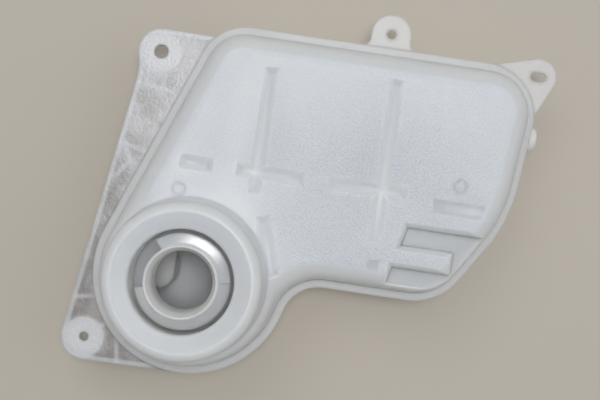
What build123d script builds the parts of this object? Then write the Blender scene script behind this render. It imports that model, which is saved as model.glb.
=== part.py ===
from build123d import *
import math
import os

# Coolant expansion tank for an engine bay: two injection-moulded polypropylene shells, welded at a flange,
# with a coarse-threaded filler neck, three fixing lugs, hose nozzles and a pair of coolant level electrodes.
# Millimetres. The origin is on the filler neck's axis, in the plane that the tank rests on.
# +Z runs up the neck, and +X along the tank's long straight side.

# Levels above the resting plane
weld_z = 45.5
plateau_z = 78.0
well_floor_z = 86.0
turret_z = 108.5
well_rim_drop = 1.5
neck_rise = 0.5
sealing_edge_drop = 8.0
well_rim_z = turret_z - well_rim_drop
neck_z = turret_z + neck_rise
sealing_edge_z = neck_z - sealing_edge_drop

# Moulded walls
wall = 2.5
flange_width = 5.0
flange_thickness = 3.5
upper_draft = 6.0
lower_draft = 3.0
plateau_edge_radius = 14.0
floor_edge_radius = 9.0
inner_edge_share = 0.72

# Plan of the weld flange's outer edge
end_radius = 62.0
left_lean = 20.7
top_y = 159.8
top_right_x = 202.5
shoulder_x = 193.3
shoulder_y = 62.5
toe_x = 156.5
toe_y = 4.3
waist_radius = 24.0
top_left_radius = 31.0
top_right_radius = 33.4
shoulder_radius = 95.0
toe_radius = 37.0

# Filler neck and its cap thread, sunk in the turret that stands on the round end
bore_radius = 17.9
neck_radius = 21.7
neck_mouth_radius = 20.4
neck_lip_chamfer = 0.8
turret_radius = 49.0
turret_draft = 5.0
turret_edge_radius = 5.9
land_radius = 40.6
land_step = 0.5
well_radius = 30.7
well_edge = 1.2
thread_depth = 6.6
thread_root_height = 3.4
thread_crest_height = 1.8
thread_pitch = 8.0
thread_turn = 293.0
thread_start_angle = 129.5
thread_top_gap = 3.2
thread_embed = 0.6
stop_angle = 8.5
stop_width = 1.6
stop_height = 1.0

# Baffles inside, with a moulded groove over each in the plateau
baffle_thickness = 2.2
baffle_row_y = 69.6
baffle_left_x = 32.5
baffle_right_x = 108.6
baffle_passage_width = 14.0
baffle_passage_height = 9.0
groove_width = 10.0
groove_depth = 1.8
groove_flare = 65.0

# Stepped corner of the plateau, where the level can be read
pocket_depth = 7.0
pocket_upper_y = 51.0
pocket_upper_x = 127.2
pocket_lower_y = 14.0
pocket_lower_x = 118.4
bar_upper_y = 37.6
bar_lower_y = 26.0
bar_end_x = 156.5
pocket_draft = 8.0
pocket_rim = 2.0

# Fainter marks of the mould in the plateau
mark_depth = 0.9
ledge_x = 156.6
ledge_y = 65.5
ledge_length = 33.0
ledge_width = 10.5
tail_recess_shift = 1.3
tail_recess_y = 22.4
tail_recess_width = 9.0
tail_recess_length = 13.0
ejector_rings = [(-12.6, 52.6), (155.5, 78.9)]
ejector_ring_radius = 4.4
ejector_ring_width = 1.4
ejector_ring_depth = 0.4

# Bracket on the left, a flat skin stiffened by a lip, bosses and ribs underneath
upper_hole = (-39.5, 136.7)
lower_hole = (-61.4, -48.4)
upper_hole_radius = 4.45
lower_hole_radius = 2.95
bracket_corner_radius = 14.3
bracket_blend_radius = 40.0
bracket_lean = 8.1
bracket_skin = 2.0
bracket_depth = 9.0
bracket_lip = 2.4
bracket_rib = 1.8
upper_boss_radius = 11.8
lower_boss_radius = 11.4
weld_clearance = 0.6

# Fixing lugs on the straight side and at the right
top_lug = (102.7, 168.5)
top_lug_radius = 12.6
top_lug_hole_radius = 2.85
top_lug_blend = 5.0
right_lug = (198.2, 155.6)
right_lug_radius = 11.6
right_lug_root_x = 170.0
right_lug_root_y = 124.5
right_lug_inset = 3.0
slot_length = 10.0
slot_width = 5.6
lug_drop = 0.8
lug_ring_width = 0.9
lug_ring_height = 0.35

# Step in the lower shell, which leaves room for the hose and the plug under the bracket
step_x = -15.0
step_y = -10.5
step_z = 31.0
step_corner_radius = 8.0

# Hose nozzles on the lower shell
outlet_y = 42.0
outlet_z = 15.0
outlet_radius = 10.0
outlet_bore_radius = 7.6
outlet_tip_x = -56.0
vent_y = 118.0
vent_z = 30.0
vent_radius = 7.0
vent_bore_radius = 3.6
vent_tip_x = 205.5
vent_length = 20.0
bead_height = 0.9
bead_length = 4.5

# Plug socket and level electrodes
socket_y = 88.0
socket_z = 16.0
socket_width = 24.0
socket_height = 14.0
socket_wall = 2.0
socket_length = 19.0
socket_round = 3.0
electrode_radius = 1.5
electrode_pitch = 10.0
electrode_pin = 12.0
electrode_reach = 32.0
electrode_boss_radius = 3.6
electrode_boss_length = 6.0
electrode_tip_chamfer = 0.4

# Places worked out from the sizes above
flange_top_z = weld_z + flange_thickness
lug_top_z = flange_top_z - lug_drop
turret_foot_radius = turret_radius + (plateau_z - weld_z) * math.tan(math.radians(turret_draft))
left_along = (math.sin(math.radians(left_lean)), math.cos(math.radians(left_lean)))
left_tangent = (-end_radius * left_along[1], end_radius * left_along[0])
top_left_x = left_tangent[0] + (top_y - left_tangent[1]) * left_along[0] / left_along[1]
waist_x = math.sqrt(end_radius**2 - toe_y**2)
outline_corners = [
    ((top_left_x, top_y), top_left_radius),
    ((top_right_x, top_y), top_right_radius),
    ((shoulder_x, shoulder_y), shoulder_radius),
    ((toe_x, toe_y), toe_radius),
    ((waist_x, toe_y), waist_radius),
]
far = 2 * (top_right_x + end_radius)
thread_start_z = neck_z - thread_top_gap - thread_root_height / 2
thread_drop = thread_pitch * thread_turn / 360
stop_foot_z = thread_start_z - thread_pitch * (thread_start_angle - stop_angle) / 360

# Baffle lines, as pairs of ends: one row along X, two columns along Y, and a slanted one towards the waist
baffle_lines = [
    ((-15.0, baffle_row_y), (6.5, baffle_row_y)),
    ((19.5, baffle_row_y), (62.0, baffle_row_y)),
    ((76.0, baffle_row_y), (124.8, baffle_row_y)),
    ((baffle_left_x, 56.0), (baffle_left_x, 134.0)),
    ((baffle_right_x, 38.0), (baffle_right_x, 138.0)),
    ((40.0, 44.6), (51.5, 8.0)),
]
# Ribs under the bracket, as pairs of ends
bracket_ribs = [
    ((-52.0, 116.0), (-26.0, 112.2)),
    ((-44.8, 126.0), (-46.2, 115.2)),
    ((-34.6, 126.0), (-35.6, 113.6)),
    ((-57.5, 76.8), (-36.0, 71.9)),
    ((-53.8, 75.9), (-46.4, 61.7)),
    ((-57.4, 54.0), (-48.6, 65.9)),
    ((-73.6, -24.4), (-56.0, -21.8)),
    ((-52.6, -41.6), (-45.6, -34.0)),
    ((-41.4, -43.8), (-38.4, -62.0)),
]


# Plan of the flange's outer edge: a round end about the neck joined to a cornered body
with BuildSketch() as rim_outline:
    Circle(end_radius)
    with BuildLine():
        Polyline(
            (0, 0),
            left_tangent,
            (top_left_x, top_y),
            (top_right_x, top_y),
            (shoulder_x, shoulder_y),
            (toe_x, toe_y),
            (0, toe_y),
            close=True,
        )
    make_face()
    for corner, corner_radius in outline_corners:
        fillet(rim_outline.vertices().sort_by_distance(corner)[0], corner_radius)


def rim_inset(inset):
    """The flange's outline, drawn in by a distance, or out where it is negative."""
    with BuildSketch() as drawn_in:
        add(rim_outline.sketch)
        offset(amount=-inset)
    return drawn_in.sketch


def upper_block(inset, top_z, edge_finish, edge_size):
    """The solid form of the upper shell above the weld, drafted, with its top edge filleted or chamfered."""
    plan = rim_inset(inset)
    with BuildPart() as block:
        with BuildSketch(Plane.XY.offset(weld_z)):
            add(plan)
        extrude(amount=top_z - weld_z, taper=upper_draft)
        edge_finish(block.faces().sort_by(Axis.Z)[-1].edges(), edge_size)
    return block.part


def turret_block(inset, top_z, edge_finish, edge_size):
    """The solid form of the turret from the weld up, with its top edge filleted or chamfered."""
    height = top_z - weld_z
    foot_radius = turret_foot_radius - inset
    top_radius = foot_radius - height * math.tan(math.radians(turret_draft))
    with BuildPart() as block:
        with Locations((0, 0, weld_z)):
            Cone(foot_radius, top_radius, height, align=(Align.CENTER, Align.CENTER, Align.MIN))
        edge_finish(block.faces().sort_by(Axis.Z)[-1].edges(), edge_size)
    return block.part


def lower_block(inset, bottom_z, edge_finish, edge_size):
    """The solid form of the lower shell below the weld, with its floor edge filleted or chamfered."""
    height = weld_z - bottom_z
    floor_plan = rim_inset(inset + height * math.tan(math.radians(lower_draft)))
    with BuildPart() as block:
        with BuildSketch(Plane.XY.offset(bottom_z)):
            add(floor_plan)
        extrude(amount=height, taper=-lower_draft)
        edge_finish(block.faces().sort_by(Axis.Z)[0].edges(), edge_size)
    return block.part


def flange_plate(bottom_z):
    """One half of the weld flange."""
    with BuildPart() as plate:
        with BuildSketch(Plane.XY.offset(bottom_z)):
            add(rim_outline.sketch)
        extrude(amount=flange_thickness)
    return plate.part


def along_line(start, end):
    """The place halfway along a line, turned with it, and the line's length."""
    line = Vector(*end) - Vector(*start)
    middle = Vector(*start) + line / 2
    return Location((middle.X, middle.Y), math.degrees(math.atan2(line.Y, line.X))), line.length


def groove_cutter(top_z):
    """The soft V-shaped grooves over the baffles, sunk from a level, with sloping sides and ends."""
    with BuildPart() as grooves:
        for start, end in baffle_lines:
            place, length = along_line(start, end)
            with BuildSketch(Plane.XY.offset(top_z)):
                with Locations(place):
                    Rectangle(length, groove_width)
            extrude(amount=-groove_depth, taper=groove_flare)
    return grooves.part


def shallow_cutter():
    """The faint marks of the mould: a ledge, a recess past the last groove and two ejector rings."""
    with BuildPart() as marks:
        with BuildSketch(Plane.XY.offset(plateau_z)):
            with Locations((ledge_x, ledge_y)):
                Rectangle(ledge_length, ledge_width)
            with Locations((baffle_right_x + tail_recess_shift, tail_recess_y)):
                Rectangle(tail_recess_width, tail_recess_length)
        extrude(amount=-mark_depth, taper=groove_flare)
        with BuildSketch(Plane.XY.offset(plateau_z)):
            with Locations(*ejector_rings):
                Circle(ejector_ring_radius)
                Circle(ejector_ring_radius - ejector_ring_width, mode=Mode.SUBTRACT)
        extrude(amount=-ejector_ring_depth)
    return marks.part


def pocket_cutter(grow, depth, draft):
    """The pocket of the stepped corner around its bar, made larger all round, at a depth and a draft."""
    bar_length = bar_end_x - pocket_lower_x
    bar_width = bar_upper_y - bar_lower_y
    with BuildPart() as cutter:
        with BuildSketch(Plane.XY.offset(plateau_z)):
            with BuildLine():
                Polyline(
                    (pocket_upper_x, pocket_upper_y),
                    (far, pocket_upper_y),
                    (far, pocket_lower_y),
                    (pocket_lower_x, pocket_lower_y),
                    close=True,
                )
            make_face()
            with Locations((bar_end_x - bar_length / 2, bar_lower_y + bar_width / 2)):
                Rectangle(bar_length, bar_width, mode=Mode.SUBTRACT)
            if grow:
                offset(amount=grow, kind=Kind.INTERSECTION)
        extrude(amount=-depth, taper=draft)
    return cutter.part


def baffles(bottom_z, top_z):
    """The upright inner walls between two levels."""
    with BuildPart() as walls:
        with BuildSketch(Plane.XY.offset(bottom_z)):
            for start, end in baffle_lines:
                with BuildLine():
                    Line(start, end)
                trace(line_width=baffle_thickness)
        extrude(amount=top_z - bottom_z)
    return walls.part


def nozzle(root, tip, radius):
    """A hose nozzle without its bore, along X from root to tip, with a bead that holds the hose."""
    outwards = math.copysign(1, tip[0] - root[0])
    length = abs(tip[0] - root[0])
    with BuildPart() as spigot:
        with BuildSketch(Plane(origin=root, x_dir=(outwards, 0, 0), z_dir=(0, -outwards, 0))):
            with BuildLine():
                Polyline(
                    (0, 0),
                    (length, 0),
                    (length, radius - bead_height),
                    (length - bead_length + bead_height, radius + bead_height),
                    (length - bead_length, radius),
                    (0, radius),
                    close=True,
                )
            make_face()
        revolve(axis=Axis(root, (1, 0, 0)))
    return spigot.part


def step_cutter(grow):
    """The space under the bracket that the lower shell leaves free."""
    with BuildPart() as cutter:
        with BuildSketch() as plan:
            with BuildLine():
                Polyline(
                    (step_x + grow, step_y - grow),
                    (step_x + grow, far),
                    (-far, far),
                    (-far, step_y - grow),
                    close=True,
                )
            make_face()
            fillet(plan.vertices().sort_by_distance((step_x, step_y))[0], step_corner_radius + grow)
        extrude(amount=step_z + grow)
    return cutter.part


def bracket():
    """The left bracket: skin, lip, bosses and ribs, clear of the lower shell's half of the flange."""
    along = (math.sin(math.radians(bracket_lean)), math.cos(math.radians(bracket_lean)))
    low = (
        lower_hole[0] - bracket_corner_radius * along[1],
        lower_hole[1] + bracket_corner_radius * along[0],
    )
    high = (low[0] + (upper_hole[1] - low[1]) * along[0] / along[1], upper_hole[1])
    inside_upper = (0, upper_hole[1] + bracket_corner_radius)
    with BuildSketch() as plan:
        with Locations(upper_hole, lower_hole):
            Circle(bracket_corner_radius)
        with BuildLine():
            Polyline(
                low,
                high,
                upper_hole,
                (upper_hole[0], inside_upper[1]),
                inside_upper,
                (0, -end_radius),
                (lower_hole[0], lower_hole[1] - bracket_corner_radius),
                lower_hole,
                close=True,
            )
        make_face()
        blend = plan.vertices().filter_by(lambda v: v.X < upper_hole[0] and v.Y > 0).sort_by(Axis.Y)[0]
        fillet(blend, bracket_blend_radius)
    with BuildSketch() as skin_edge:
        add(plan.sketch)
        offset(amount=-bracket_lip)
    clear_plan = rim_inset(-weld_clearance)
    inner_plan = rim_inset(flange_width)
    with BuildPart() as plate:
        with BuildSketch(Plane.XY.offset(lug_top_z - bracket_skin)):
            add(plan.sketch)
        extrude(amount=bracket_skin)
        with BuildSketch(Plane.XY.offset(lug_top_z - bracket_depth)):
            add(plan.sketch)
            add(skin_edge.sketch, mode=Mode.SUBTRACT)
            with Locations(upper_hole):
                Circle(upper_boss_radius)
            with Locations(lower_hole):
                Circle(lower_boss_radius)
            with BuildLine():
                for start, end in bracket_ribs:
                    Line(start, end)
            trace(line_width=bracket_rib)
            add(plan.sketch, mode=Mode.INTERSECT)
        extrude(amount=bracket_depth)
        with BuildSketch(Plane.XY):
            add(clear_plan)
        extrude(amount=weld_z, mode=Mode.SUBTRACT)
        with BuildSketch(Plane.XY):
            add(inner_plan)
        extrude(amount=plateau_z, mode=Mode.SUBTRACT)
        with Locations(Pos(upper_hole[0], upper_hole[1], lug_top_z)):
            Hole(upper_hole_radius, depth=bracket_depth)
        with Locations(Pos(lower_hole[0], lower_hole[1], lug_top_z)):
            Hole(lower_hole_radius, depth=bracket_depth)
    return plate.part


def cap_thread():
    """The neck's coarse right-hand ridge, which drops clockwise from its start."""
    root_radius = neck_radius - thread_embed
    with BuildPart() as ridge:
        with BuildLine(Plane.XY.offset(thread_start_z - thread_drop)) as path:
            Helix(thread_pitch, thread_drop, root_radius)
        start = path.line @ 0
        outwards = Vector(start.X, start.Y, 0).normalized()
        with BuildSketch(Plane(origin=start, x_dir=outwards, z_dir=path.line % 0)):
            with BuildLine():
                Polyline(
                    (0, -thread_root_height / 2),
                    (thread_depth + thread_embed, -thread_crest_height / 2),
                    (thread_depth + thread_embed, thread_crest_height / 2),
                    (0, thread_root_height / 2),
                    close=True,
                )
            make_face()
        sweep(is_frenet=True)
    return ridge.part.rotate(Axis.Z, thread_start_angle - thread_turn)


def neck_ring():
    """The filler neck: a sealing bore that opens towards its rim, from the well's floor up."""
    with BuildPart() as tube:
        with BuildSketch(Plane.XZ):
            with BuildLine():
                Polyline(
                    (bore_radius, well_floor_z - wall),
                    (neck_radius, well_floor_z - wall),
                    (neck_radius, neck_z - neck_lip_chamfer),
                    (neck_radius - neck_lip_chamfer, neck_z),
                    (neck_mouth_radius, neck_z),
                    (bore_radius, sealing_edge_z),
                    close=True,
                )
            make_face()
        revolve(axis=Axis.Z)
    return tube.part


def filler_well():
    """The well round the neck that takes the cap, with the land that leads into it."""
    with BuildPart() as well:
        with BuildSketch(Plane.XZ):
            with BuildLine():
                Polyline(
                    (0, well_floor_z),
                    (well_radius, well_floor_z),
                    (well_radius, well_rim_z - well_edge),
                    (well_radius + well_edge, well_rim_z),
                    (land_radius - land_step, turret_z - land_step),
                    (land_radius, turret_z),
                    (0, turret_z),
                    close=True,
                )
            make_face()
        revolve(axis=Axis.Z)
    return well.part


def well_tub():
    """The well and its walls as one solid drum, which the turret's hollow goes round."""
    with BuildPart() as drum:
        with BuildSketch(Plane.XY.offset(well_floor_z - wall)):
            Circle(well_radius + wall)
        extrude(amount=turret_z - well_floor_z)
    return drum.part


def lugs():
    """The two fixing lugs that carry on from the flange, without their holes."""
    tip = Vector(*right_lug)
    upper_root = Vector(right_lug_root_x, top_y)
    lower_root = Vector(shoulder_x + right_lug_inset, right_lug_root_y)
    with BuildPart() as plates:
        with BuildSketch(Plane.XY.offset(weld_z)) as plan:
            add(rim_outline.sketch)
            with Locations(top_lug):
                Circle(top_lug_radius)
            with BuildLine():
                Polyline(
                    (top_lug[0] - top_lug_radius, top_y - flange_width),
                    (top_lug[0] - top_lug_radius, top_lug[1]),
                    (top_lug[0] + top_lug_radius, top_lug[1]),
                    (top_lug[0] + top_lug_radius, top_y - flange_width),
                    close=True,
                )
            make_face()
            for side in (-1, 1):
                fork = (top_lug[0] + side * top_lug_radius, top_y)
                fillet(plan.vertices().sort_by_distance(fork)[0], top_lug_blend)
            with Locations(right_lug):
                Circle(right_lug_radius)
            with BuildLine():
                Polyline(
                    upper_root,
                    tangent_point(upper_root, tip, right_lug_radius, 1),
                    tip,
                    tangent_point(lower_root, tip, right_lug_radius, -1),
                    lower_root,
                    close=True,
                )
            make_face()
        extrude(amount=flange_thickness - lug_drop)
    return plates.part


def tangent_point(outside, centre, radius, side):
    """Where a line from a point outside a circle touches it, on one side or the other."""
    away = outside - centre
    swing = math.degrees(math.acos(radius / away.length))
    return centre + away.normalized().rotate(Axis.Z, -side * swing) * radius


# Upper shell: dome, turret, flange, neck, bracket and lugs in one moulding
plateau_inner_chamfer = inner_edge_share * (plateau_edge_radius - wall)
turret_inner_chamfer = inner_edge_share * (turret_edge_radius - wall)
outer_upper = upper_block(flange_width, plateau_z, fillet, plateau_edge_radius)
inner_upper = upper_block(flange_width + wall, plateau_z - wall, chamfer, plateau_inner_chamfer)
turret = turret_block(0, turret_z, fillet, turret_edge_radius)
turret_hollow = turret_block(wall, well_rim_z - wall, chamfer, turret_inner_chamfer)
upper_flange = flange_plate(weld_z)
fixing_lugs = lugs()
left_bracket = bracket()
well = filler_well()
tub = well_tub()
neck = neck_ring()
ridge = cap_thread()
grooves = groove_cutter(plateau_z)
groove_backs = groove_cutter(plateau_z - wall)
pockets = pocket_cutter(0, pocket_depth, pocket_draft)
pocket_rims = pocket_cutter(pocket_rim, pocket_rim, 45)
pocket_backs = pocket_cutter(wall, pocket_depth + wall, pocket_draft)
mould_marks = shallow_cutter()

with BuildPart() as upper_cavity:
    add(inner_upper)
    add(groove_backs, mode=Mode.SUBTRACT)
    add(pocket_backs, mode=Mode.SUBTRACT)
    add(turret_hollow)
    add(tub, mode=Mode.SUBTRACT)

with BuildPart() as upper_shell:
    add(outer_upper)
    add(grooves, mode=Mode.SUBTRACT)
    add(pockets, mode=Mode.SUBTRACT)
    add(pocket_rims, mode=Mode.SUBTRACT)
    add(mould_marks, mode=Mode.SUBTRACT)
    add(turret)
    add(well, mode=Mode.SUBTRACT)
    add(upper_flange)
    add(fixing_lugs)
    add(left_bracket)
    add(upper_cavity.part, mode=Mode.SUBTRACT)
    with BuildSketch(Plane.XY.offset(well_floor_z - wall)):
        Circle(bore_radius)
    extrude(amount=wall, mode=Mode.SUBTRACT)
    add(neck)
    add(ridge)
    with BuildSketch(Plane.XY.offset(stop_foot_z).rotated((0, 0, stop_angle))):
        with Locations((neck_radius + (thread_depth - thread_embed) / 2, 0)):
            Rectangle(thread_depth + thread_embed, stop_width)
    extrude(amount=thread_root_height / 2 + stop_height)
    with BuildSketch(Plane.XY.offset(lug_top_z)):
        with Locations(top_lug):
            Circle(top_lug_hole_radius + lug_ring_width)
        with Locations(right_lug):
            SlotOverall(slot_length + 2 * lug_ring_width, slot_width + 2 * lug_ring_width)
    extrude(amount=lug_ring_height)
    with BuildSketch(Plane.XY.offset(weld_z)):
        with Locations(top_lug):
            Circle(top_lug_hole_radius)
        with Locations(right_lug):
            SlotOverall(slot_length, slot_width)
    extrude(amount=flange_thickness, mode=Mode.SUBTRACT)
upper_shell.part.label = "upper_shell"

# Inner walls of the upper shell: they stand on those of the lower shell and reach up to the plateau
with BuildPart() as inner_walls:
    add(baffles(weld_z, plateau_z))
    add(upper_cavity.part, mode=Mode.INTERSECT)
inner_walls.part.label = "inner_walls"

# Lower shell: drafted tub with a step, inner walls, hose nozzles and the plug socket
floor_inner_chamfer = inner_edge_share * (floor_edge_radius - wall)
outer_lower = lower_block(flange_width, 0, fillet, floor_edge_radius)
inner_lower = lower_block(flange_width + wall, wall, chamfer, floor_inner_chamfer)
lower_flange = flange_plate(weld_z - flange_thickness)
step = step_cutter(0)
step_back = step_cutter(wall)
lower_baffles = baffles(wall / 2, weld_z)
outlet_mouth = (outlet_tip_x, outlet_y, outlet_z)
outlet = nozzle((step_x + 2 * wall, outlet_y, outlet_z), outlet_mouth, outlet_radius)
vent_mouth = (vent_tip_x, vent_y, vent_z)
vent = nozzle((vent_tip_x - vent_length, vent_y, vent_z), vent_mouth, vent_radius)
electrode_places = [(socket_y - electrode_pitch / 2, socket_z), (socket_y + electrode_pitch / 2, socket_z)]

with BuildPart() as lower_cavity:
    add(inner_lower)
    add(step_back, mode=Mode.SUBTRACT)

with BuildPart() as lower_shell:
    add(outer_lower)
    add(step, mode=Mode.SUBTRACT)
    add(lower_flange)
    add(outlet)
    add(vent)
    with BuildSketch(Plane.YZ.offset(step_x - socket_length)):
        with Locations((socket_y, socket_z)):
            RectangleRounded(socket_width, socket_height, socket_round)
            inner_round = socket_round - socket_wall / 2
            inner_size = (socket_width - 2 * socket_wall, socket_height - 2 * socket_wall)
            RectangleRounded(*inner_size, inner_round, mode=Mode.SUBTRACT)
    extrude(amount=socket_length + wall / 2)
    add(lower_cavity.part, mode=Mode.SUBTRACT)
    add(lower_baffles)
    with BuildSketch(Plane.XY.offset(wall)):
        for start, end in baffle_lines:
            with Locations(along_line(start, end)[0]):
                Rectangle(baffle_passage_width, 2 * baffle_thickness)
    extrude(amount=baffle_passage_height, mode=Mode.SUBTRACT)
    with BuildSketch(Plane.YZ.offset(step_x + wall / 2)):
        with Locations(*electrode_places):
            Circle(electrode_boss_radius)
    extrude(amount=electrode_boss_length + wall / 2)
    with BuildSketch(Plane.YZ.offset(step_x)):
        with Locations(*electrode_places):
            Circle(electrode_radius)
    extrude(amount=wall + electrode_boss_length, mode=Mode.SUBTRACT)
    with BuildSketch(Plane.YZ.offset(outlet_tip_x)):
        with Locations((outlet_y, outlet_z)):
            Circle(outlet_bore_radius)
    extrude(amount=step_x + 2 * wall - outlet_tip_x, mode=Mode.SUBTRACT)
    with BuildSketch(Plane.YZ.offset(vent_tip_x)):
        with Locations((vent_y, vent_z)):
            Circle(vent_bore_radius)
    extrude(amount=-vent_length, mode=Mode.SUBTRACT)
lower_shell.part.label = "lower_shell"

# Level electrodes: two metal rods moulded into the step's wall, pins outside and probes inside
with BuildPart() as level_electrodes:
    with BuildSketch(Plane.YZ.offset(step_x - electrode_pin)):
        with Locations(*electrode_places):
            Circle(electrode_radius)
    extrude(amount=electrode_pin + wall + electrode_boss_length + electrode_reach)
    chamfer(level_electrodes.edges().filter_by(GeomType.CIRCLE), electrode_tip_chamfer)
level_electrodes.part.label = "level_electrodes"

os.makedirs("parts", exist_ok=True)
for piece in (upper_shell, inner_walls, lower_shell, level_electrodes):
    export_step(piece.part, f"parts/{piece.part.label}.step")
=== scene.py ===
"""Looks of a coolant expansion tank: natural polypropylene shells, a filler neck and level electrodes."""

import logging
import math
from dataclasses import dataclass, field
from enum import Enum
from typing import Dict, List, Sequence, Tuple

import bmesh
import bpy
from mathutils import Matrix, Vector


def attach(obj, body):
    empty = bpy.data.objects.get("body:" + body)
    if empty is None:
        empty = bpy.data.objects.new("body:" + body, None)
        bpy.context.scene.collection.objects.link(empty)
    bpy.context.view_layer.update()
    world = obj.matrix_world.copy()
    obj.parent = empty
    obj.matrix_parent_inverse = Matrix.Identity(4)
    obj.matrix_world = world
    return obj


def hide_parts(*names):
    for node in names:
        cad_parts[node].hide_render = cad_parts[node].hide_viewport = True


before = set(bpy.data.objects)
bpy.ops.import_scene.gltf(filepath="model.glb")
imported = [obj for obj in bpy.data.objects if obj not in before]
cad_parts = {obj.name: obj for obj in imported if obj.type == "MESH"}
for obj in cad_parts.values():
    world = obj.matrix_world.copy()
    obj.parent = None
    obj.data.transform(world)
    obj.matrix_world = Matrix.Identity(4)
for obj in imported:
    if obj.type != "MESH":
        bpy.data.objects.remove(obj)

log = logging.getLogger("expansion_tank")

Rgb = Tuple[float, float, float]
Span = Tuple[float, float]
Point = Tuple[float, float, float]
MM = 0.001


class Zone(Enum):
    """Stretches of the moulding that differ in surface or in how much light they let through; some also
    carry painted shade or painted sheen in their colour.
    """

    PLATEAU = "plateau"
    POCKET = "pocket"
    LAND = "land"
    RIM = "rim"
    BRACKET = "bracket"
    NECK = "neck"
    THREAD = "thread"
    UPRIGHT = "upright"


class Lamp(Enum):
    """Soft boxes round the table."""

    KEY = "key"
    FILL = "fill"
    CEILING = "ceiling"


@dataclass(frozen=True)
class LampPlan:
    """One soft box: where it hangs from the aimed point, in the picture's axes, its side and its watts."""

    role: Lamp
    offset: Point
    size: float
    power: float


@dataclass(frozen=True)
class RimPlan:
    """Plan of the weld rim that the finish needs to tell the bracket from the body.

    The round end lies about the neck's axis, and the left side leaves it at a tangent.
    """

    end_radius: float = 62.0 * MM
    left_lean: float = math.radians(20.7)
    blur: float = 0.8 * MM

    @property
    def left_normal(self) -> Vector:
        """Direction out of the left side, in the resting plane."""
        return Vector((-math.cos(self.left_lean), math.sin(self.left_lean), 0.0))

    @property
    def left_along(self) -> Vector:
        """Direction up the left side, in the resting plane."""
        return Vector((math.sin(self.left_lean), math.cos(self.left_lean), 0.0))


@dataclass(frozen=True)
class Pattern:
    """A cloudy pattern: the width of one cloud in metres, and its finer layers' number and strength."""

    size: float
    detail: float = 3.0
    roughness: float = 0.5


@dataclass(frozen=True)
class Relief:
    """A surface pattern and how high its bumps stand, in metres."""

    pattern: Pattern
    height: float


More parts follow.
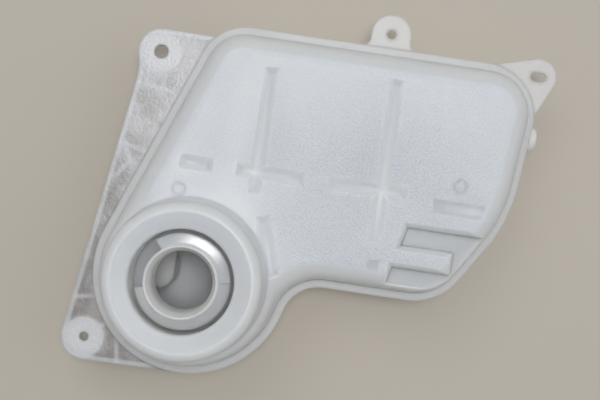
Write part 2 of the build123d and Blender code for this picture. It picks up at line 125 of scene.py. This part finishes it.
class NodeGraph:
    """A material's node tree with short calls for the nodes that the finishes share."""

    def __init__(self, name: str) -> None:
        """Starts an empty material.

        Args:
            name: The material's name.
        """
        self.material = bpy.data.materials.new(name)
        self.material.use_nodes = True
        self.tree = self.material.node_tree
        self.tree.nodes.clear()
        self.output = self.tree.nodes.new("ShaderNodeOutputMaterial")
        self.shader = self.tree.nodes.new("ShaderNodeBsdfPrincipled")
        self.link(self.shader.outputs["BSDF"], self.output.inputs["Surface"])
        self.place = self.tree.nodes.new("ShaderNodeTexCoord").outputs["Object"]

    def link(self, source: bpy.types.NodeSocket, target: bpy.types.NodeSocket) -> None:
        """Joins two sockets."""
        self.tree.links.new(source, target)

    def feed(self, socket: bpy.types.NodeSocket, value: object) -> None:
        """Gives a socket a number, a vector or another socket."""
        if isinstance(value, bpy.types.NodeSocket):
            self.link(value, socket)
        else:
            socket.default_value = value

    def math(self, operation: str, *values: object, clamp: bool = False) -> bpy.types.NodeSocket:
        """One step of arithmetic.

        Args:
            operation: Blender's name of the step.
            values: Numbers or sockets.
            clamp: Whether the result is kept between 0 and 1.

        Returns:
            The result's socket.
        """
        node = self.tree.nodes.new("ShaderNodeMath")
        node.operation = operation
        node.use_clamp = clamp
        for socket, value in zip(node.inputs, values):
            self.feed(socket, value)
        return node.outputs[0]

    def product(self, first: bpy.types.NodeSocket, *others: object) -> bpy.types.NodeSocket:
        """Multiplies masks and numbers."""
        result = first
        for other in others:
            result = self.math("MULTIPLY", result, other)
        return result

    def axes(self, vector: bpy.types.NodeSocket) -> Sequence[bpy.types.NodeSocket]:
        """The three parts of a vector."""
        node = self.tree.nodes.new("ShaderNodeSeparateXYZ")
        self.link(vector, node.inputs[0])
        return node.outputs

    def along(self, direction: Vector) -> bpy.types.NodeSocket:
        """How far the place lies along a direction."""
        node = self.tree.nodes.new("ShaderNodeVectorMath")
        node.operation = "DOT_PRODUCT"
        self.link(self.place, node.inputs[0])
        node.inputs[1].default_value = direction
        return node.outputs["Value"]

    def away(self, middle: Point) -> bpy.types.NodeSocket:
        """How far the place lies from a point."""
        node = self.tree.nodes.new("ShaderNodeVectorMath")
        node.operation = "DISTANCE"
        self.link(self.place, node.inputs[0])
        node.inputs[1].default_value = middle
        return node.outputs["Value"]

    def ramp(self, value: bpy.types.NodeSocket, span: Span, level: float = 0.0) -> bpy.types.NodeSocket:
        """Goes smoothly from 0 at a span's first end to 1 at its second, whichever is the larger.

        Args:
            value: What is measured.
            span: The two ends, counted from the level.
            level: What the span is counted from.

        Returns:
            The result's socket.
        """
        rising = span[0] < span[1]
        node = self.tree.nodes.new("ShaderNodeMapRange")
        node.interpolation_type = "SMOOTHSTEP"
        self.link(value, node.inputs["Value"])
        node.inputs["From Min"].default_value = level + min(span)
        node.inputs["From Max"].default_value = level + max(span)
        node.inputs["To Min"].default_value = 0.0 if rising else 1.0
        node.inputs["To Max"].default_value = 1.0 if rising else 0.0
        return node.outputs["Result"]

    def spread(self, value: bpy.types.NodeSocket, span: Span) -> bpy.types.NodeSocket:
        """Maps 0 to 1 onto a span."""
        node = self.tree.nodes.new("ShaderNodeMapRange")
        self.link(value, node.inputs["Value"])
        node.inputs["To Min"].default_value, node.inputs["To Max"].default_value = span
        return node.outputs["Result"]

    def noise(self, pattern: Pattern) -> bpy.types.NodeSocket:
        """Cloudy variation, about 0.5 on average."""
        node = self.tree.nodes.new("ShaderNodeTexNoise")
        self.link(self.place, node.inputs["Vector"])
        node.inputs["Scale"].default_value = 1.0 / pattern.size
        node.inputs["Detail"].default_value = pattern.detail
        node.inputs["Roughness"].default_value = pattern.roughness
        return node.outputs["Fac"]

    def mix(self, share: object, first: object, second: object) -> bpy.types.NodeSocket:
        """Blends two colours.

        Args:
            share: How much of the second colour shows.
            first: The first colour.
            second: The second colour.

        Returns:
            The blend's socket.
        """
        node = self.tree.nodes.new("ShaderNodeMix")
        node.data_type = "RGBA"
        self.feed(node.inputs[0], share)
        for socket, colour in ((node.inputs[6], first), (node.inputs[7], second)):
            self.feed(socket, colour if isinstance(colour, bpy.types.NodeSocket) else (*colour, 1.0))
        return node.outputs[2]

    def blend(self, share: object, first: object, second: object) -> bpy.types.NodeSocket:
        """Blends two numbers.

        Args:
            share: How much of the second number shows.
            first: The first number.
            second: The second number.

        Returns:
            The blend's socket.
        """
        node = self.tree.nodes.new("ShaderNodeMix")
        node.data_type = "FLOAT"
        for socket, value in zip((node.inputs[0], node.inputs[2], node.inputs[3]), (share, first, second)):
            self.feed(socket, value)
        return node.outputs[0]


@dataclass(frozen=True)
class ZonePlan:
    """Where the moulding's zones lie, in metres from the neck's axis and the resting plane.

    A span says where a mask goes from 0 to 1. It is counted from the level or radius above it, from the
    neck's axis for the bracket's side, and from 0 for how far the surface faces up.
    """

    plateau_level: float = 78.0 * MM
    plateau_fade: Span = (-1.0 * MM, -0.3 * MM)
    turret_radius: float = 49.0 * MM
    turret_fade: Span = (0.0, 14.0 * MM)
    pocket_level: float = 71.0 * MM
    pocket_below: Span = (-0.8 * MM, -0.4 * MM)
    pocket_above: Span = (0.8 * MM, 0.4 * MM)
    land_radius: float = 41.5 * MM
    land_edge: Span = (1.5 * MM, -1.5 * MM)
    land_level: float = 107.0 * MM
    land_fade: Span = (-4.0 * MM, -2.0 * MM)
    well_radius: float = 30.7 * MM
    well_outside: Span = (0.0, 0.6 * MM)
    well_inside: Span = (0.6 * MM, 0.0)
    well_level: float = 86.0 * MM
    well_fade: Span = (-4.0 * MM, -3.0 * MM)
    tube_radius: float = 21.8 * MM
    tube_fade: Span = (0.0, 0.6 * MM)
    lug_level: float = 49.0 * MM
    lug_above: Span = (1.5 * MM, 1.0 * MM)
    lug_below: Span = (-8.0 * MM, -4.0 * MM)
    bracket_side: Span = (4.0 * MM, 0.0)
    flat_facing: Span = (0.90, 0.995)
    upright_facing: Span = (0.75, 0.35)
    rim: RimPlan = field(default_factory=RimPlan)

    def masks(self, graph: NodeGraph) -> Dict[Zone, bpy.types.NodeSocket]:
        """Masks of the zones.

        Args:
            graph: The material's nodes.

        Returns:
            A socket from 0 to 1 for each zone.
        """
        x, y, z = graph.axes(graph.place)
        radius = graph.math("SQRT", graph.math("ADD", graph.product(x, x), graph.product(y, y)))
        up = graph.axes(graph.tree.nodes.new("ShaderNodeNewGeometry").outputs["Normal"])[2]
        flat = graph.ramp(up, self.flat_facing)
        plateau = graph.product(
            flat,
            graph.ramp(z, self.plateau_fade, self.plateau_level),
            graph.ramp(radius, self.turret_fade, self.turret_radius),
        )
        pocket = graph.product(
            graph.ramp(z, self.pocket_below, self.pocket_level),
            graph.ramp(z, self.pocket_above, self.pocket_level),
            flat,
        )
        land = graph.product(
            graph.ramp(radius, self.well_outside, self.well_radius),
            graph.ramp(radius, self.land_edge, self.land_radius),
            graph.ramp(z, self.land_fade, self.land_level),
        )
        low = graph.ramp(z, self.lug_above, self.lug_level)
        neck = graph.product(
            graph.ramp(radius, self.well_inside, self.well_radius),
            graph.ramp(z, self.well_fade, self.well_level),
        )
        return {
            Zone.PLATEAU: plateau,
            Zone.POCKET: pocket,
            Zone.LAND: land,
            Zone.RIM: graph.product(low, graph.ramp(z, self.lug_below, self.lug_level)),
            Zone.BRACKET: graph.product(
                self.beyond_rim(graph, radius), graph.ramp(x, self.bracket_side), low
            ),
            Zone.NECK: neck,
            Zone.THREAD: graph.product(neck, graph.ramp(radius, self.tube_fade, self.tube_radius)),
            Zone.UPRIGHT: graph.product(neck, graph.ramp(up, self.upright_facing)),
        }

    def beyond_rim(self, graph: NodeGraph, radius: bpy.types.NodeSocket) -> bpy.types.NodeSocket:
        """Mask of what lies outside the weld rim, at the round end and along the left side.

        Args:
            graph: The material's nodes.
            radius: The place's distance from the neck's axis.

        Returns:
            The mask's socket.
        """
        past_line = graph.math("SUBTRACT", graph.along(self.rim.left_normal), self.rim.end_radius)
        past_end = graph.math("SUBTRACT", radius, self.rim.end_radius)
        beside_line = graph.math("GREATER_THAN", graph.along(self.rim.left_along), 0.0)
        return graph.ramp(graph.blend(beside_line, past_end, past_line), (-self.rim.blur, self.rim.blur))


@dataclass(frozen=True)
class NaturalPlastic:
    """Unpigmented polypropylene: milky, softly shining, and different in colour and depth by zone, with
    painted shade and painted sheen in some zones' colours.

    Colours are linear. Lengths are in metres.
    """

    name: str = "natural_polypropylene"
    zone_plan: ZonePlan = field(default_factory=ZonePlan)

    # Colours, some with painted light: sheen on the plateau, shade in the pockets, on the rim and lugs and
    # on the bracket's skin
    # Painted sheen: the plateau is brighter and bluer than the walls, standing in for the bluish light its
    # grained top reflects.
    plateau: Rgb = (0.91, 0.945, 0.995)
    thick: Rgb = (0.70, 0.71, 0.715)
    thin: Rgb = (0.92, 0.925, 0.92)
    # Painted shade: the pocket floors are darker and warmer than the walls, standing in for the shade in
    # the sunk pockets.
    pocket: Rgb = (0.84, 0.83, 0.77)
    land: Rgb = (0.89, 0.895, 0.87)
    # Painted shade: the weld flange's top and the lugs are darker than the same plastic elsewhere.
    rim_top: Rgb = (0.66, 0.655, 0.65)
    # Painted shade: dark patches standing in for the shadowed table seen through the thin bracket skin.
    bracket_painted_shade: Rgb = (0.29, 0.275, 0.265)
    # The thin skin is darker than the ribs and lips. This is partly the thin plastic's own lesser
    # milkiness and partly painted shade for light lost through the skin.
    bracket_thin: Rgb = (0.62, 0.615, 0.635)
    bracket_thick: Rgb = (0.76, 0.76, 0.775)
    neck_tint: Rgb = (0.985, 0.98, 0.93)
    neck_share: float = 0.9

    # How far light wanders inside the plastic, farther in red than in blue
    scatter_share: float = 1.0
    scatter_reach: float = 8.0 * MM
    pocket_reach: float = 18.0 * MM
    land_reach: float = 15.0 * MM
    thread_reach: float = 18.0 * MM
    upright_reach: float = 2.0 * MM
    scatter_spread: Rgb = (1.0, 0.93, 0.82)

    # Sheen
    refraction: float = 1.49
    roughness: float = 0.38
    bracket_roughness: float = 0.20
    neck_roughness: float = 0.12
    neck_clearness: float = 0.10
    wear: Pattern = Pattern(6.0 * MM, detail=2.0)
    wear_span: Span = (-0.05, 0.05)

    # Thickness: the share of inward rays that meet no other wall within the reach, from thin to thick
    thickness_reach: float = 7.0 * MM
    thickness_span: Span = (0.02, 0.40)
    thickness_samples: int = 16

    # Relief
    edge_round: float = 2.0 * MM
    edge_samples: int = 6
    grain: Relief = Relief(Pattern(1.2 * MM, 2.0, 0.6), 0.45 * MM)
    wrinkle: Relief = Relief(Pattern(2.4 * MM, 3.0, 0.6), 0.35 * MM)
    sink: Relief = Relief(Pattern(24.0 * MM, 1.0, 0.6), 0.30 * MM)
    sink_strength: float = 0.5
    # Grain and painted glints: both are strongest round the point where the overhead lamp's reflection
    # falls on the plateau.
    glint_middle: Point = (110.0 * MM, 55.0 * MM, 78.0 * MM)
    glint_fade: Span = (30.0 * MM, 105.0 * MM)
    grain_and_glint_span: Span = (1.0, 0.35)
    grain_elsewhere: float = 0.10

    # Variation of the colour: a random cloud, and speckle that is partly the grain's own tone and partly
    # painted glints
    speckle: Pattern = Pattern(1.2 * MM, 2.0, 0.7)
    speckle_and_glint_span: Span = (0.50, 1.14)
    cloud: Pattern = Pattern(22.0 * MM)
    cloud_span: Span = (0.97, 1.03)
    patches: Pattern = Pattern(11.0 * MM)
    patch_edge: Span = (0.32, 0.66)
    patch_span: Span = (-0.25, 0.25)
    # Painted shade: more of the bracket's skin is painted in shade towards its lower end.
    bracket_rise: Span = (-40.0 * MM, 150.0 * MM)

    def thickness(self, graph: NodeGraph) -> bpy.types.NodeSocket:
        """How much plastic lies behind the surface, from 0 where it is thin to 1 where it is thick."""
        node = graph.tree.nodes.new("ShaderNodeAmbientOcclusion")
        node.inside = True
        node.only_local = True
        node.samples = self.thickness_samples
        node.inputs["Distance"].default_value = self.thickness_reach
        return graph.ramp(node.outputs["AO"], self.thickness_span)

    def grain_and_glint(self, graph: NodeGraph, zones: Dict[Zone, bpy.types.NodeSocket]) -> bpy.types.NodeSocket:
        """How strong the plateau's grain is: full in its middle and fainter towards its edges; in the
        colour this also paints the overhead lamp's glints, which fall in the plateau's middle.

        Args:
            graph: The material's nodes.
            zones: Masks of the zones.

        Returns:
            The strength's socket.
        """
        fading = graph.ramp(graph.away(self.glint_middle), self.glint_fade)
        return graph.product(zones[Zone.PLATEAU], graph.spread(fading, self.grain_and_glint_span))

    def normal(self, graph: NodeGraph, zones: Dict[Zone, bpy.types.NodeSocket]) -> bpy.types.NodeSocket:
        """The surface's direction, with softened edges, sink marks, grain and wrinkles.

        Args:
            graph: The material's nodes.
            zones: Masks of the zones.

        Returns:
            The direction's socket.
        """
        rounded = graph.tree.nodes.new("ShaderNodeBevel")
        rounded.samples = self.edge_samples
        rounded.inputs["Radius"].default_value = self.edge_round
        direction = rounded.outputs["Normal"]
        strengths = (
            (self.sink, self.sink_strength),
            (self.grain, graph.blend(self.grain_and_glint(graph, zones), self.grain_elsewhere, 1.0)),
            (self.wrinkle, zones[Zone.BRACKET]),
        )
        for relief, strength in strengths:
            bump = graph.tree.nodes.new("ShaderNodeBump")
            bump.inputs["Distance"].default_value = relief.height
            graph.feed(bump.inputs["Strength"], strength)
            graph.link(graph.noise(relief.pattern), bump.inputs["Height"])
            graph.link(direction, bump.inputs["Normal"])
            direction = bump.outputs["Normal"]
        return direction

    def bracket_skin(self, graph: NodeGraph) -> bpy.types.NodeSocket:
        """The bracket's thin skin, with patches of painted shade for the shadowed table seen through it,
        more of them towards its lower end.
        """
        upwards = graph.ramp(graph.along(Vector((0.0, 1.0, 0.0))), self.bracket_rise)
        patched = graph.spread(graph.ramp(graph.noise(self.patches), self.patch_edge), self.patch_span)
        # Share of the skin that is left out of the painted shade.
        unshaded = graph.math("ADD", upwards, patched, clamp=True)
        return graph.mix(unshaded, self.bracket_painted_shade, self.bracket_thin)

    def colour(self, graph: NodeGraph, zones: Dict[Zone, bpy.types.NodeSocket]) -> bpy.types.NodeSocket:
        """The plastic's colour by zone and thickness, with a cloudy and a speckled variation, painted
        sheen on the plateau, painted shade in the pockets, on the rim and lugs and on the bracket's skin,
        and painted glints in the plateau's speckle.

        Args:
            graph: The material's nodes.
            zones: Masks of the zones.

        Returns:
            The colour's socket.
        """
        thick = self.thickness(graph)
        body = graph.mix(thick, self.thin, self.thick)
        shades = (
            (Zone.POCKET, self.pocket),
            (Zone.LAND, self.land),
            (Zone.RIM, self.rim_top),
            (Zone.PLATEAU, self.plateau),
            (Zone.BRACKET, graph.mix(thick, self.bracket_skin(graph), self.bracket_thick)),
        )
        for zone, shade in shades:
            body = graph.mix(zones[zone], body, shade)
        tinted = graph.mix(graph.product(zones[Zone.NECK], self.neck_share), body, self.neck_tint)
        clouded = graph.spread(graph.noise(self.cloud), self.cloud_span)
        # Speckle: partly the grain's own tone, partly painted glints that are strongest in the plateau's
        # middle.
        flecks_and_glints = graph.spread(graph.noise(self.speckle), self.speckle_and_glint_span)
        speckled_and_glinting = graph.blend(self.grain_and_glint(graph, zones), 1.0, flecks_and_glints)
        varied = graph.tree.nodes.new("ShaderNodeHueSaturation")
        graph.link(tinted, varied.inputs["Color"])
        graph.link(graph.product(clouded, speckled_and_glinting), varied.inputs["Value"])
        return varied.outputs["Color"]

    def sheen(self, graph: NodeGraph, zones: Dict[Zone, bpy.types.NodeSocket]) -> bpy.types.NodeSocket:
        """The surface's roughness: glossier on the bracket and round the neck, with slight wear.

        Args:
            graph: The material's nodes.
            zones: Masks of the zones.

        Returns:
            The roughness's socket.
        """
        dull = graph.blend(zones[Zone.BRACKET], self.roughness, self.bracket_roughness)
        moulded = graph.blend(zones[Zone.NECK], dull, self.neck_roughness)
        return graph.math("ADD", graph.spread(graph.noise(self.wear), self.wear_span), moulded)

    def reach(self, graph: NodeGraph, zones: Dict[Zone, bpy.types.NodeSocket]) -> bpy.types.NodeSocket:
        """How far light wanders inside, by zone.

        Args:
            graph: The material's nodes.
            zones: Masks of the zones.

        Returns:
            The distance's socket.
        """
        reach = self.scatter_reach
        reaches = (
            (Zone.POCKET, self.pocket_reach),
            (Zone.LAND, self.land_reach),
            (Zone.THREAD, self.thread_reach),
            (Zone.UPRIGHT, self.upright_reach),
        )
        for zone, here in reaches:
            reach = graph.blend(zones[zone], reach, here)
        return reach

    def build(self) -> bpy.types.Material:
        """Makes the material.

        Returns:
            The finished material.
        """
        graph = NodeGraph(self.name)
        zones = self.zone_plan.masks(graph)
        inputs = graph.shader.inputs
        inputs["IOR"].default_value = self.refraction
        inputs["Subsurface Weight"].default_value = self.scatter_share
        inputs["Subsurface Radius"].default_value = self.scatter_spread
        graph.link(self.colour(graph, zones), inputs["Base Color"])
        graph.link(self.sheen(graph, zones), inputs["Roughness"])
        graph.link(self.reach(graph, zones), inputs["Subsurface Scale"])
        graph.link(graph.product(zones[Zone.NECK], self.neck_clearness), inputs["Transmission Weight"])
        graph.link(self.normal(graph, zones), inputs["Normal"])
        return graph.material


@dataclass(frozen=True)
class BrightSteel:
    """Drawn stainless rod of the level electrodes."""

    name: str = "electrode_steel"
    light: Rgb = (0.56, 0.55, 0.53)
    dark: Rgb = (0.42, 0.41, 0.40)
    streak_width: float = 0.2 * MM
    streak_stretch: Point = (0.03, 1.0, 1.0)
    roughness_span: Span = (0.20, 0.40)

    def build(self) -> bpy.types.Material:
        """Makes the material.

        Returns:
            The finished material.
        """
        graph = NodeGraph(self.name)
        stretch = graph.tree.nodes.new("ShaderNodeMapping")
        graph.link(graph.place, stretch.inputs["Vector"])
        stretch.inputs["Scale"].default_value = self.streak_stretch
        texture = graph.tree.nodes.new("ShaderNodeTexNoise")
        graph.link(stretch.outputs["Vector"], texture.inputs["Vector"])
        texture.inputs["Scale"].default_value = 1.0 / self.streak_width
        streaks = texture.outputs["Fac"]
        graph.link(graph.mix(streaks, self.light, self.dark), graph.shader.inputs["Base Color"])
        graph.link(graph.spread(streaks, self.roughness_span), graph.shader.inputs["Roughness"])
        graph.shader.inputs["Metallic"].default_value = 1.0
        return graph.material


@dataclass(frozen=True)
class PaleFloor:
    """The plain pale surface that the tank lies on."""

    name: str = "pale_floor"
    colour: Rgb = (0.58, 0.53, 0.46)
    roughness: float = 0.75

    def build(self) -> bpy.types.Material:
        """Makes the material.

        Returns:
            The finished material.
        """
        graph = NodeGraph(self.name)
        graph.shader.inputs["Base Color"].default_value = (*self.colour, 1.0)
        graph.shader.inputs["Roughness"].default_value = self.roughness
        return graph.material


@dataclass
class TankShells:
    """The two welded shells and the inner walls, shown as smooth copies of their solids."""

    finish: NaturalPlastic = field(default_factory=NaturalPlastic)
    tub_finish: NaturalPlastic = NaturalPlastic(
        name="natural_polypropylene_tub", thin=(0.97, 0.97, 0.96), thick=(0.90, 0.90, 0.90)
    )
    dome: str = "upper_shell"
    tub: Tuple[str, ...] = ("inner_walls", "lower_shell")
    slot: str = "shell_plastic"
    merge_distance: float = 0.002 * MM
    crease: float = math.radians(28.0)
    pieces: List[bpy.types.Object] = field(default_factory=list)

    def _moulding(self, node: str) -> bpy.types.Object:
        """Copies a solid's mesh, joins its loose triangles and shades it smooth between its edges.

        Args:
            node: The solid's name.

        Returns:
            The copy as an object of its own.
        """
        shape = bmesh.new()
        shape.from_mesh(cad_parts[node].data)
        bmesh.ops.remove_doubles(shape, verts=shape.verts, dist=self.merge_distance)
        for face in shape.faces:
            face.smooth = True
        for edge in shape.edges:
            edge.smooth = edge.is_manifold and edge.calc_face_angle() < self.crease
        name = f"{node}_moulding"
        mesh = bpy.data.meshes.new(name)
        shape.to_mesh(mesh)
        shape.free()
        piece = bpy.data.objects.new(name, mesh)
        bpy.context.scene.collection.objects.link(piece)
        return piece

    def build(self) -> None:
        """Makes the mouldings."""
        for node in (self.dome, *self.tub):
            piece = self._moulding(node)
            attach(piece, "root")
            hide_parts(node)
            self.pieces.append(piece)
            log.info("%s: %d faces", piece.name, len(piece.data.polygons))

    def dress(self) -> None:
        """Gives the mouldings their plastic."""
        materials = [self.finish.build()] + [self.tub_finish.build()] * len(self.tub)
        for piece, material in zip(self.pieces, materials):
            piece.data.materials.clear()
            piece.data.materials.append(material)


@dataclass
class LevelElectrodes:
    """The two rods that sense the coolant's level."""

    finish: BrightSteel = field(default_factory=BrightSteel)
    node: str = "level_electrodes"

    def dress(self) -> None:
        """Gives the rods their steel."""
        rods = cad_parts[self.node]
        rods.data.materials.clear()
        rods.data.materials.append(self.finish.build())
        log.info("%s dressed", self.node)


@dataclass
class Studio:
    """Floor, soft light and the camera at the photograph's angle."""

    floor_finish: PaleFloor = field(default_factory=PaleFloor)
    floor_half: float = 2.0
    floor_drop: float = 0.05 * MM
    rim_level: float = 49.0 * MM
    aim: Tuple[float, float] = (60.9 * MM, 56.9 * MM)
    eye_height: float = 650.0 * MM
    turn: float = math.radians(8.5)
    seen_width: float = 378.0 * MM
    sensor: float = 36.0
    near_clip: float = 0.01
    world_colour: Rgb = (0.95, 0.98, 1.0)
    world_strength: float = 0.355
    lamps: Tuple[LampPlan, ...] = (
        LampPlan(Lamp.KEY, (-0.30, 0.75, 1.35), 0.9, 3.8),
        LampPlan(Lamp.FILL, (1.3, 0.1, 1.2), 1.4, 2.3),
        LampPlan(Lamp.CEILING, (0.09, 0.10, 1.5), 0.35, 7.0),
    )

    def floor(self) -> None:
        """Lays the floor under the tank."""
        shape = bmesh.new()
        bmesh.ops.create_grid(shape, x_segments=1, y_segments=1, size=self.floor_half)
        bmesh.ops.translate(shape, verts=shape.verts, vec=(*self.aim, -self.floor_drop))
        mesh = bpy.data.meshes.new("floor")
        shape.to_mesh(mesh)
        shape.free()
        mesh.materials.append(self.floor_finish.build())
        plane = bpy.data.objects.new("floor", mesh)
        bpy.context.scene.collection.objects.link(plane)

    def lamp(self, plan: LampPlan) -> None:
        """Hangs a soft box that looks at the tank.

        Args:
            plan: The lamp's place, size and power.
        """
        name = f"{plan.role.value}_lamp"
        data = bpy.data.lights.new(name, "AREA")
        data.shape = "SQUARE"
        data.size = plan.size
        data.energy = plan.power
        offset = Matrix.Rotation(self.turn, 3, "Z") @ Vector(plan.offset)
        lamp = bpy.data.objects.new(name, data)
        lamp.location = Vector((*self.aim, self.rim_level)) + offset
        lamp.rotation_euler = (-offset).to_track_quat("-Z", "Y").to_euler()
        bpy.context.scene.collection.objects.link(lamp)

    def world(self) -> None:
        """Fills the room with even light."""
        world = bpy.data.worlds.new("room")
        world.use_nodes = True
        background = world.node_tree.nodes["Background"]
        background.inputs["Color"].default_value = (*self.world_colour, 1.0)
        background.inputs["Strength"].default_value = self.world_strength
        bpy.context.scene.world = world

    def camera(self) -> None:
        """Sets the camera over the tank, as the photograph was taken."""
        data = bpy.data.cameras.new("camera")
        data.sensor_width = self.sensor
        data.lens = self.sensor * self.eye_height / self.seen_width
        data.clip_start = self.near_clip
        camera = bpy.data.objects.new("camera", data)
        camera.location = (*self.aim, self.rim_level + self.eye_height)
        camera.rotation_euler = (0.0, 0.0, self.turn)
        bpy.context.scene.collection.objects.link(camera)
        bpy.context.scene.camera = camera

    def build(self) -> None:
        """Sets the whole stage."""
        self.floor()
        for plan in self.lamps:
            self.lamp(plan)
        self.world()
        self.camera()
        bpy.context.scene.view_settings.view_transform = "Standard"


def main() -> None:
    """Builds the tank's looks and the stage round it."""
    logging.basicConfig(level=logging.INFO, format="%(name)s: %(message)s")
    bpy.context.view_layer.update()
    shells = TankShells()
    shells.build()
    shells.dress()
    LevelElectrodes().dress()
    Studio().build()


if __name__ == "__main__":
    main()
